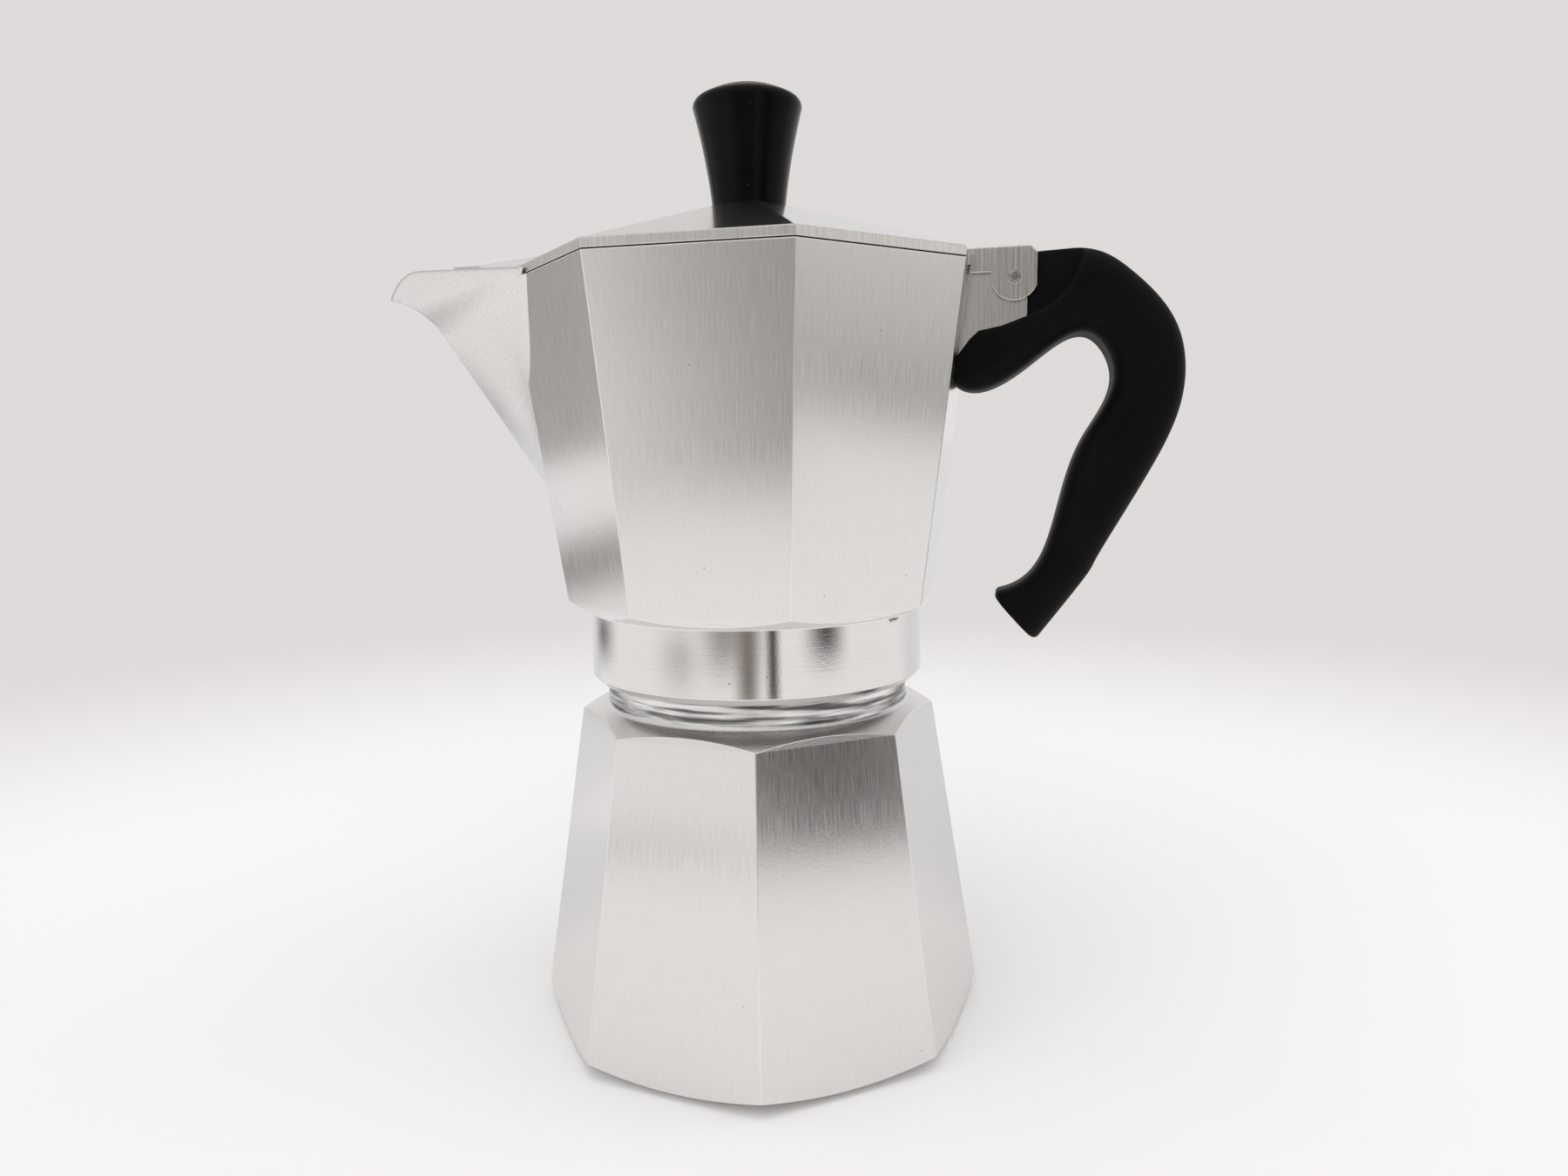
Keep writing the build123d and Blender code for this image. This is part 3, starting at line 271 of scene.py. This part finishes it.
lathe, given, result = group(
    "turned_rings",
    (("Place", "Vector"), ("Pitch", "Float")),
    (("Rings", "Float"), ("Sweep", "Float")),
)
rise_share = 0.73
chatter = 3.0
axes = put(lathe, "SeparateXYZ", {0: given["Place"]}).outputs
flat = put(lathe, "CombineXYZ", {"X": axes["X"], "Y": axes["Y"]}).outputs[0]
reach = put(lathe, "VectorMath", {0: flat}, operation="LENGTH").outputs["Value"]
feed = calc(lathe, "ADD", reach, calc(lathe, "MULTIPLY", axes["Z"], rise_share))
step = calc(lathe, "MULTIPLY", feed, given["Pitch"])
rings = put(lathe, "TexNoise", {"W": step, "Scale": 1.0, "Detail": 3.0}, noise_dimensions="1D").outputs[0]
round_axis = calc(lathe, "MULTIPLY", calc(lathe, "ARCTAN2", axes["Y"], axes["X"]), chatter)
swept = put(lathe, "CombineXYZ", {"X": round_axis, "Y": step}).outputs[0]
lathe.links.new(rings, result["Rings"])
lathe.links.new(noise(lathe, swept, scale=0.6, detail=3.0), result["Sweep"])

# Edge mask: the materials paint edges lighter with it, as wear and painted highlight. The rounded normal
# shades the edges round.
edge, given, result = group(
    "rubbed_and_highlit_edges", (("Radius", "Float"),), (("Mask", "Float"), ("Normal", "Vector"))
)
edge_turn = (0.998, 0.94)
rounded = put(edge, "Bevel", {"Radius": given["Radius"]}, samples=6).outputs[0]
turned = dot(edge, rounded, put(edge, "NewGeometry").outputs["Normal"])
edge.links.new(span(edge, turned, edge_turn), result["Mask"])
edge.links.new(rounded, result["Normal"])

marks, given, result = group(
    "cast_marks",
    (("Place", "Vector"), ("Pits", "Float")),
    (("Pits", "Float"), ("Smudges", "Float"), ("Mottle", "Float")),
)
pit_choice = (0.80, 0.84)
pit_size = (0.075, 0.02)
smudge_patches = (0.62, 0.76)
smudge_flecks = (0.42, 0.66)
cells = put(marks, "TexVoronoi", {"Vector": given["Place"], "Scale": given["Pits"]}).outputs
lot = put(marks, "SeparateColor", {0: cells["Color"]}).outputs[0]
chosen = span(marks, lot, pit_choice)
holes = calc(marks, "MULTIPLY", span(marks, cells["Distance"], pit_size), chosen)
cloud = span(marks, noise(marks, given["Place"], scale=46.0, detail=2.0), smudge_patches)
flecks = span(marks, noise(marks, given["Place"], scale=620.0, detail=4.0), smudge_flecks)
marks.links.new(holes, result["Pits"])
marks.links.new(calc(marks, "MULTIPLY", cloud, flecks), result["Smudges"])
marks.links.new(noise(marks, given["Place"], scale=1500.0, detail=3.0), result["Mottle"])


def finish(name, **constants):
    """A new material, with constants set on its Principled shader's own sockets."""
    made = bpy.data.materials.new(name)
    made.use_nodes = True
    shader = made.node_tree.nodes["Principled BSDF"]
    for key, value in constants.items():
        shader.inputs[key.replace("_", " ")].default_value = value
    return made, made.node_tree, shader


def skin(tree, shader, colour, roughness, relief, strength, depth, **normal):
    """Joins a colour, a roughness and the bump of a relief to a material's shader."""
    surface = {"Height": relief, "Strength": strength, "Distance": depth, **normal}
    tree.links.new(colour, shader.inputs["Base Color"])
    tree.links.new(roughness, shader.inputs["Roughness"])
    tree.links.new(put(tree, "Bump", surface).outputs[0], shader.inputs["Normal"])


def dress(node, material):
    """Puts a material on a node of the frame."""
    mesh = frame["nodes"][node].data
    mesh.materials.clear()
    mesh.materials.append(material)


grain_shade = (0.68, 0.66, 0.65, 1.0)
grain_light = (0.80, 0.78, 0.77, 1.0)
cut_light = (0.84, 0.825, 0.81, 1.0)
# Edges are painted this light, as wear and painted highlight.
rubbed_highlight = (0.92, 0.905, 0.90, 1.0)
mould_grey = (0.52, 0.515, 0.51, 1.0)
soil_grey = (0.30, 0.29, 0.28, 1.0)
pit_grey = (0.22, 0.21, 0.20, 1.0)
edge_rounding = 0.0004
cast_edge_rounding = 0.0012
tooled_wear_and_highlight = 0.4
smudge_share = 0.06
cast_smudge_share = 0.40
smudge_rough = 0.4
pit_share = 0.55
grain_sheen = (0.10, 0.24)
cast_sheen = 0.23
mould_sheen = 0.50
relief_depth = 0.00003
grain_relief = 0.4
cast_relief = 0.4
cut_relief = 4.0
pit_relief = 3.0
inward_lean = (-0.001, -0.006)


def casting(name, turned_at, turned_sheen, cast_at, tooled_at, tool_marks, tool_marks_and_painted_shade):
    """Aluminium casting: grained flats, with turned, as-cast and tooled areas where the masks say."""
    made, tree, shader = finish(name, Metallic=1.0)
    own = put(tree, "TexCoord").outputs
    place = own["Object"]
    axes = put(tree, "SeparateXYZ", {0: place}).outputs
    turned = turned_at(tree, axes)
    plain = cast_at(tree, axes)
    tooled = tooled_at(tree, axes)
    cuts = tool_marks(tree, place)
    outward = put(tree, "CombineXYZ", {"X": axes["X"], "Y": axes["Y"]}).outputs[0]
    inside = span(tree, dot(tree, outward, own["Normal"]), inward_lean)
    drawn = effect(tree, "linished_grain", Place=place, Across=1000.0, Along=130.0)
    lathe = effect(tree, "turned_rings", Place=place, Pitch=9000.0)
    cast = effect(tree, "cast_marks", Place=place, Pits=260.0)
    worn_and_highlit = effect(tree, "rubbed_and_highlit_edges", Radius=mix(tree, plain, edge_rounding, cast_edge_rounding))
    grained = mix(tree, plain, drawn["Streaks"], ramp(tree, cast["Mottle"], 0.0, 1.0, 0.34, 0.66))
    streaks = mix(tree, turned, grained, lathe["Rings"])

    pale = tint(tree, ramp(tree, streaks, 0.28, 0.60), grain_shade, grain_light)
    # Tool mark tint: real on the lug, ears and rim; painted shade on the gable's edge, and painted shade and
    # painted reflection on the neck.
    cut = tint(tree, ramp(tree, cuts, 0.36, 0.64), tool_marks_and_painted_shade, cut_light)
    faced = tint(tree, tooled, pale, cut)
    # Edges are painted lighter, as wear and painted highlight: less on tooled parts, none on the spout.
    edge_share = calc(tree, "SUBTRACT", mix(tree, tooled, 1.0, tooled_wear_and_highlight), plain)
    rubbing_and_highlight = {0: worn_and_highlit["Mask"], 1: edge_share}
    rubbed_and_highlit = put(tree, "Math", rubbing_and_highlight, operation="MULTIPLY", use_clamp=True).outputs[0]
    bright = tint(tree, rubbed_and_highlit, faced, rubbed_highlight)
    dull = tint(tree, inside, bright, mould_grey)
    smudged = calc(tree, "MULTIPLY", cast["Smudges"], mix(tree, plain, smudge_share, cast_smudge_share))
    soiled = tint(tree, smudged, dull, soil_grey)
    pitted = tint(tree, calc(tree, "MULTIPLY", cast["Pits"], pit_share), soiled, pit_grey)

    satin = mix(tree, plain, ramp(tree, drawn["Streaks"], 0.34, 0.68, *grain_sheen), cast_sheen)
    polish = ramp(tree, lathe["Rings"], 0.2, 0.8, *turned_sheen)
    sheen = mix(tree, inside, mix(tree, turned, satin, polish), mould_sheen)
    rough = calc(tree, "ADD", sheen, calc(tree, "MULTIPLY", smudged, smudge_rough))

    mottled = calc(tree, "MULTIPLY", cast["Mottle"], mix(tree, plain, 1.0, cast_relief))
    relief = calc(tree, "ADD", calc(tree, "MULTIPLY", streaks, grain_relief), mottled)
    scores = calc(tree, "MULTIPLY", calc(tree, "MULTIPLY", cuts, tooled), cut_relief)
    holes = calc(tree, "MULTIPLY", cast["Pits"], pit_relief)
    relief = calc(tree, "SUBTRACT", calc(tree, "ADD", relief, scores), holes)
    skin(tree, shader, pitted, rough, relief, strength=0.16, depth=relief_depth, Normal=worn_and_highlit["Normal"])
    return made


def upright_marks(tree, place):
    """Marks of a cutter or belt that ran upright."""
    return effect(tree, "linished_grain", Place=place, Across=700.0, Along=30.0)["Streaks"]


def round_marks(tree, place):
    """Marks of a lathe tool that ran round the axis and chattered."""
    return effect(tree, "turned_rings", Place=place, Pitch=1700.0)["Sweep"]


# Each pair of places is where one finish starts to give way to the next and where it is gone.
foot_edge = (0.0004, 0.0001)
shoulder_edge = (0.0731, 0.0735)
neck_foot = (0.0764, 0.0770)
# The neck's tool marks are painted this dark, as painted shade and painted reflection.
neck_painted_shade = (0.12, 0.115, 0.11, 1.0)


def on_shoulder_and_foot(tree, axes):
    """The boiler is turned from the shoulder up and on its foot."""
    return calc(tree, "MAXIMUM", span(tree, axes["Z"], shoulder_edge), span(tree, axes["Z"], foot_edge))


def on_neck(tree, axes):
    """The neck keeps its tool marks, painted very dark as painted shade and painted reflection."""
    return span(tree, axes["Z"], neck_foot)


def no_part(tree, axes):
    """No part of the piece."""
    return 0.0


boiler_metal = casting(
    "boiler_casting",
    turned_at=on_shoulder_and_foot,
    turned_sheen=(0.20, 0.34),
    cast_at=no_part,
    tooled_at=on_neck,
    tool_marks=round_marks,
    tool_marks_and_painted_shade=neck_painted_shade,
)
dress("boiler", boiler_metal)

# Neck thread: the ridge of the screw that the collector turns down on, cut round the top of the
# boiler's neck. It is one coarse right-hand thread that runs out to nothing at both ends.
thread_pitch = 0.003
thread_turns = 1.75
thread_steps = 72
ridge_width = 0.0015
crest_width = 0.0006
ridge_corners = 4


def thread(name, root, crest, start):
    """A screw ridge from a flat section, narrowed at the crest, wound up the axis and closed."""
    bpy.ops.object.select_all(action="DESELECT")
    middle = ((root + crest) / 2, 0.0, start)
    bpy.ops.mesh.primitive_plane_add(size=1.0, location=middle, rotation=(radians(90), 0.0, 0.0))
    ridge = bpy.context.object
    ridge.name = name
    ridge.scale = (abs(crest - root), ridge_width, 1.0)
    bpy.ops.object.transform_apply(location=True, rotation=True, scale=True)
    for vertex in ridge.data.vertices:
        vertex.select = abs(vertex.co.x - crest) < abs(vertex.co.x - root)
    bpy.ops.object.mode_set(mode="EDIT")
    narrowed = (1.0, 1.0, crest_width / ridge_width)
    bpy.ops.transform.resize(value=narrowed, center_override=(crest, 0.0, start))
    bpy.ops.mesh.select_all(action="SELECT")
    bpy.ops.mesh.delete(type="ONLY_FACE")
    bpy.ops.object.mode_set(mode="OBJECT")
    winding = ridge.modifiers.new("winding", "SCREW")
    winding.axis = "Z"
    winding.angle = radians(360) * thread_turns
    winding.screw_offset = thread_pitch * thread_turns
    winding.steps = winding.render_steps = int(thread_steps * thread_turns)
    bpy.ops.object.modifier_apply(modifier=winding.name)
    last = len(ridge.data.vertices) - ridge_corners
    for vertex in ridge.data.vertices:
        vertex.select = vertex.index < ridge_corners or vertex.index >= last
    bpy.ops.object.mode_set(mode="EDIT")
    bpy.ops.mesh.merge(type="COLLAPSE")
    bpy.ops.mesh.select_all(action="SELECT")
    bpy.ops.mesh.normals_make_consistent(inside=False)
    bpy.ops.object.mode_set(mode="OBJECT")
    bpy.ops.object.shade_smooth_by_angle(angle=radians(30))
    return ridge


neck_thread = thread("neck_thread", root=0.0343, crest=0.0356, start=0.0845)
neck_thread.data.materials.append(boiler_metal)
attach(neck_thread, "boiler")


# Safety valve: a turned brass body and cap, screwed through one flat with a rubber sealing washer
# and held by a nut inside. A brass plunger slides in it.
def turned_metal(name, centre, light, shade, sheen, pitch):
    """A bar metal turned about its own axis: fine rings, a little tarnish, edges painted as wear and
    highlight.
    """
    made, tree, shader = finish(name, Metallic=1.0)
    place = put(tree, "TexCoord").outputs["Object"]
    spun = put(tree, "Mapping", {"Vector": place, "Location": tuple(-centre)}).outputs[0]
    lathe = effect(tree, "turned_rings", Place=spun, Pitch=pitch)
    worn_and_highlit = effect(tree, "rubbed_and_highlit_edges", Radius=0.00015)
    cast = effect(tree, "cast_marks", Place=place, Pits=900.0)
    tarnish = noise(tree, place, scale=260.0, detail=4.0)
    stained = tint(tree, ramp(tree, tarnish, 0.40, 0.68), light, shade)
    bright = tint(tree, worn_and_highlit["Mask"], stained, light)
    polish = ramp(tree, lathe["Rings"], 0.2, 0.8, *sheen)
    rough = calc(tree, "ADD", polish, ramp(tree, tarnish, 0.4, 0.7, 0.0, 0.12))
    relief = calc(tree, "ADD", lathe["Rings"], calc(tree, "MULTIPLY", cast["Mottle"], 0.4))
    skin(tree, shader, bright, rough, relief, strength=0.20, depth=relief_depth, Normal=worn_and_highlit["Normal"])
    return made


def rubber(name, light, shade, sheen):
    """Moulded rubber: a matt skin with faint mottling and fine pores."""
    made, tree, shader = finish(name, Metallic=0.0, Specular_IOR_Level=0.35)
    place = put(tree, "TexCoord").outputs["Object"]
    cast = effect(tree, "cast_marks", Place=place, Pits=1200.0)
    cloud = noise(tree, place, scale=140.0, detail=4.0)
    colour = tint(tree, ramp(tree, cloud, 0.35, 0.70), light, shade)
    rough = ramp(tree, cloud, 0.3, 0.7, *sheen)
    relief = calc(tree, "SUBTRACT", cast["Mottle"], cast["Pits"])
    skin(tree, shader, colour, rough, relief, strength=0.25, depth=0.00004)
    return made


brass_light = (0.72, 0.52, 0.24, 1.0)
brass_shade = (0.50, 0.33, 0.14, 1.0)
washer_light = (0.045, 0.042, 0.040, 1.0)
washer_shade = (0.025, 0.024, 0.023, 1.0)
valve_low, valve_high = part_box("valve_body")
valve_middle = (valve_low + valve_high) / 2
brass = turned_metal("valve_brass", valve_middle, brass_light, brass_shade, sheen=(0.14, 0.28), pitch=9000.0)
for node in ("valve_body", "valve_nut", "valve_cap", "valve_plunger"):
    dress(node, brass)
dress("valve_washer", rubber("valve_rubber", washer_light, washer_shade, sheen=(0.55, 0.70)))

# Valve spring: steel wire coiled round the plunger's stem, between its head and the cap. It keeps
# the plunger on its seat. It is built once at rest and rides with the boiler, so it does not shorten
# as the plunger slides out.
steel_light = (0.66, 0.65, 0.64, 1.0)
steel_shade = (0.50, 0.49, 0.48, 1.0)
valve_slide = next(joint for joint in frame["joints"] if joint["name"] == "valve_slide")
spring_wire = 0.00028
spring_radius = 0.0020
spring_turns = 5
spring_steps = 24
spring_length = 0.0067091
spring_foot = Vector((-0.0235727, 0.0332929, 0.0538294))
spring_line = Vector(valve_slide["axis"]) * spring_length
wire_sides = 12
wire = turned_metal("spring_steel", valve_middle, steel_light, steel_shade, sheen=(0.16, 0.26), pitch=9000.0)
bpy.ops.object.select_all(action="DESELECT")
bpy.ops.mesh.primitive_circle_add(vertices=wire_sides, radius=spring_wire)
spring = bpy.context.object
spring.name = "spring_coil"
spring.location = (spring_radius, 0.0, 0.0)
spring.rotation_euler = (radians(90), 0.0, 0.0)
bpy.ops.object.transform_apply(location=True, rotation=True)
winding = spring.modifiers.new("winding", "SCREW")
winding.axis = "Z"
winding.angle = radians(360) * spring_turns
winding.screw_offset = spring_length
winding.steps = winding.render_steps = spring_steps * spring_turns
bpy.ops.object.modifier_apply(modifier=winding.name)
for first in (0, len(spring.data.vertices) - wire_sides):
    for vertex in spring.data.vertices:
        vertex.select = first <= vertex.index < first + wire_sides
    bpy.ops.object.mode_set(mode="EDIT")
    bpy.ops.mesh.edge_face_add()
    bpy.ops.object.mode_set(mode="OBJECT")
bpy.ops.object.mode_set(mode="EDIT")
bpy.ops.mesh.select_all(action="SELECT")
bpy.ops.mesh.normals_make_consistent(inside=False)
bpy.ops.object.mode_set(mode="OBJECT")
bpy.ops.object.shade_smooth_by_angle(angle=radians(40))
spring.rotation_euler = spring_line.to_track_quat("Z", "Y").to_euler()
spring.location = spring_foot
bpy.ops.object.transform_apply(location=True, rotation=True)
spring.data.materials.append(wire)
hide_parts("valve_spring")
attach(spring, "boiler")
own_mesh(spring)

# Funnel: spun from aluminium sheet in one piece with its stem, with a perforated disc pressed into
# the bottom of the bowl. The spinning tool leaves fine rings all the way round.
sheet_shade = (0.70, 0.70, 0.70, 1.0)
sheet_light = (0.82, 0.82, 0.82, 1.0)
sheet_stain = (0.60, 0.59, 0.57, 1.0)
# Edges are painted this light, as wear and painted highlight.
sheet_edge = (0.90, 0.90, 0.90, 1.0)


def spun_sheet(name, sheen):
    """Aluminium sheet with the rings of the spinning tool and faint water marks."""
    made, tree, shader = finish(name, Metallic=1.0)
    place = put(tree, "TexCoord").outputs["Object"]
    lathe = effect(tree, "turned_rings", Place=place, Pitch=2600.0)
    worn_and_highlit = effect(tree, "rubbed_and_highlit_edges", Radius=0.0002)
    cast = effect(tree, "cast_marks", Place=place, Pits=500.0)
    pale = tint(tree, lathe["Sweep"], sheet_shade, sheet_light)
    wetted = ramp(tree, noise(tree, place, scale=90.0, detail=5.0), 0.55, 0.75, 0.0, 0.45)
    bright = tint(tree, worn_and_highlit["Mask"], tint(tree, wetted, pale, sheet_stain), sheet_edge)
    rough = ramp(tree, lathe["Rings"], 0.2, 0.8, *sheen)
    relief = calc(tree, "ADD", lathe["Rings"], calc(tree, "MULTIPLY", cast["Mottle"], 0.3))
    skin(tree, shader, bright, rough, relief, strength=0.22, depth=0.00004, Normal=worn_and_highlit["Normal"])
    return made


dress("funnel", spun_sheet("funnel_sheet", sheen=(0.22, 0.38)))
disc_sheet = spun_sheet("disc_sheet", sheen=(0.20, 0.32))
dress("funnel_filter", disc_sheet)

# Gasket and filter plate: a pale moulded rubber ring that lies under the collector's seat, and a
# perforated disc of thin aluminium sheet that it holds in place.
gasket_light = (0.70, 0.68, 0.62, 1.0)
gasket_shade = (0.62, 0.59, 0.53, 1.0)
dress("gasket", rubber("gasket_rubber", gasket_light, gasket_shade, sheen=(0.48, 0.63)))
dress("filter_plate", disc_sheet)

# Collector: a second aluminium casting, linished upright on its flats like the boiler, with a
# turned and polished collar below, a plain cast spout and a ground hinge lug. The riser is pressed
# in, and the collar has the screw's other ridge inside.
flats_foot = 0.1008
flats_foot_reach = 0.04084
flats_lean = 0.1292
corner_share = cos(radians(45))
collar_top = (flats_foot, 0.1002)
spout_stand = (0.0002, 0.0008)
lug_root = (0.0515, 0.0521)
lug_marking = 0.4
ground_shade = (0.58, 0.555, 0.52, 1.0)


def on_collar(tree, axes):
    """The collector is turned on its collar, below the flats."""
    return span(tree, axes["Z"], collar_top)


def on_spout(tree, axes):
    """The spout, which stands out past the three flats on its side, keeps its cast skin."""
    spout_side = calc(tree, "MULTIPLY", axes["X"], -1.0)
    corner_side = calc(tree, "ADD", spout_side, calc(tree, "ABSOLUTE", axes["Y"]))
    reach = calc(tree, "MAXIMUM", spout_side, calc(tree, "MULTIPLY", corner_side, corner_share))
    climb = calc(tree, "SUBTRACT", axes["Z"], flats_foot)
    flat = calc(tree, "ADD", calc(tree, "MULTIPLY", climb, flats_lean), flats_foot_reach)
    return span(tree, calc(tree, "SUBTRACT", reach, flat), spout_stand)


def on_lug(tree, axes):
    """The hinge lug is ground upright."""
    return calc(tree, "MULTIPLY", span(tree, axes["X"], lug_root), lug_marking)


collector_metal = casting(
    "collector_casting",
    turned_at=on_collar,
    turned_sheen=(0.035, 0.09),
    cast_at=on_spout,
    tooled_at=on_lug,
    tool_marks=upright_marks,
    tool_marks_and_painted_shade=ground_shade,
)
dress("collector", collector_metal)
dress("coffee_column", spun_sheet("column_aluminium", sheen=(0.24, 0.40)))

collar_thread = thread("collar_thread", root=0.0366, crest=0.0353, start=0.0860)
collar_thread.data.materials.append(collector_metal)
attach(collar_thread, "collector")

# Handle: a black heat-proof moulding with a fine satin skin. Its tongue stands between the lug's
# cheeks, on the hinge pin.
black_deep = (0.0018, 0.0017, 0.0019, 1.0)
black_faded = (0.0032, 0.0030, 0.0033, 1.0)
# Edges are painted this lighter black, as wear and painted highlight.
black_rubbed_highlight = (0.016, 0.015, 0.016, 1.0)
dust_grey = (0.30, 0.29, 0.28, 1.0)
moulded_edge = 0.0012


def moulding(name, sheen, pores, dust_share):
    """Black moulded plastic: fine pores, faint sheen changes, a few specks of dust, lighter edges as wear
    and painted highlight.
    """
    made, tree, shader = finish(name, Metallic=0.0, Specular_IOR_Level=0.09)
    place = put(tree, "TexCoord").outputs["Object"]
    worn_and_highlit = effect(tree, "rubbed_and_highlit_edges", Radius=moulded_edge)
    cast = effect(tree, "cast_marks", Place=place, Pits=520.0)
    cloud = noise(tree, place, scale=75.0, detail=4.0)
    black = tint(tree, ramp(tree, cloud, 0.35, 0.70), black_deep, black_faded)
    rubbed_and_highlit = tint(tree, calc(tree, "MULTIPLY", worn_and_highlit["Mask"], 0.30), black, black_rubbed_highlight)
    dusty = tint(tree, calc(tree, "MULTIPLY", cast["Pits"], dust_share), rubbed_and_highlit, dust_grey)
    rough = ramp(tree, cloud, 0.3, 0.7, *sheen)
    pored = noise(tree, place, scale=pores, detail=2.0)
    skin(tree, shader, dusty, rough, pored, strength=0.10, depth=0.00004, Normal=worn_and_highlit["Normal"])
    return made


dress("handle", moulding("handle_moulding", sheen=(0.52, 0.60), pores=2600.0, dust_share=0.12))

# Hinge pin: a plain steel pin through the lid's ears, the lug and the handle, with its ends turned
# flat. It stays with the collector, and the lid turns on it. Its edges are painted dark as painted
# shade of the gap round it.
# A dark steel that mottles the pin and paints its edges dark, as painted shade.
pin_steel_and_rim_shade = (0.34, 0.33, 0.32, 1.0)
pin_low, pin_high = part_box("hinge_pin")
pin_middle = (pin_low + pin_high) / 2
pin_metal = turned_metal("pin_steel", pin_middle, pin_steel_and_rim_shade, steel_light, sheen=(0.14, 0.26), pitch=9000.0)
dress("hinge_pin", pin_metal)

# Lid: a thin aluminium casting with a satin roof, milled edges and a gable over the spout. Its two
# ground ears are drilled for the hinge pin.
lid_edge = (0.17545, 0.17515)
gable_foot = 0.1637
gable_slope = -0.20
gable_edge = (0.0018, 0.0016)
gable_root = (-0.0485, -0.0489)
ear_root = (0.0512, 0.0518)


def on_rim_and_ears(tree, axes):
    """The lid's edge is cut on a mill and its ears are ground, upright; the gable's edge takes their tint as
    painted shade.
    """
    eaves = calc(tree, "ADD", calc(tree, "MULTIPLY", axes["X"], gable_slope), gable_foot)
    edge = span(tree, calc(tree, "SUBTRACT", axes["Z"], eaves), gable_edge)
    # The gable's lower edge gets the tooled tint as painted shade.
    gable = calc(tree, "MULTIPLY", edge, span(tree, axes["X"], gable_root))
    milled_and_painted_gable_shade = calc(tree, "MAXIMUM", span(tree, axes["Z"], lid_edge), gable)
    return calc(tree, "MAXIMUM", milled_and_painted_gable_shade, span(tree, axes["X"], ear_root))


lid_metal = casting(
    "lid_casting",
    turned_at=no_part,
    turned_sheen=(0.06, 0.14),
    cast_at=no_part,
    tooled_at=on_rim_and_ears,
    tool_marks=upright_marks,
    tool_marks_and_painted_shade=ground_shade,
)
dress("lid", lid_metal)

# Knob: the same black moulding as the handle with a glossier skin, on a brass bush that a steel
# screw and washer pull down on the lid from below.
dress("knob", moulding("knob_moulding", sheen=(0.16, 0.26), pores=1800.0, dust_share=0.45))
dress("knob_insert", brass)
on_axis = Vector((0.0, 0.0, 0.0))
bolt = turned_metal("screw_steel", on_axis, steel_light, steel_shade, sheen=(0.16, 0.28), pitch=7000.0)
dress("knob_screw", bolt)
dress("knob_washer", bolt)
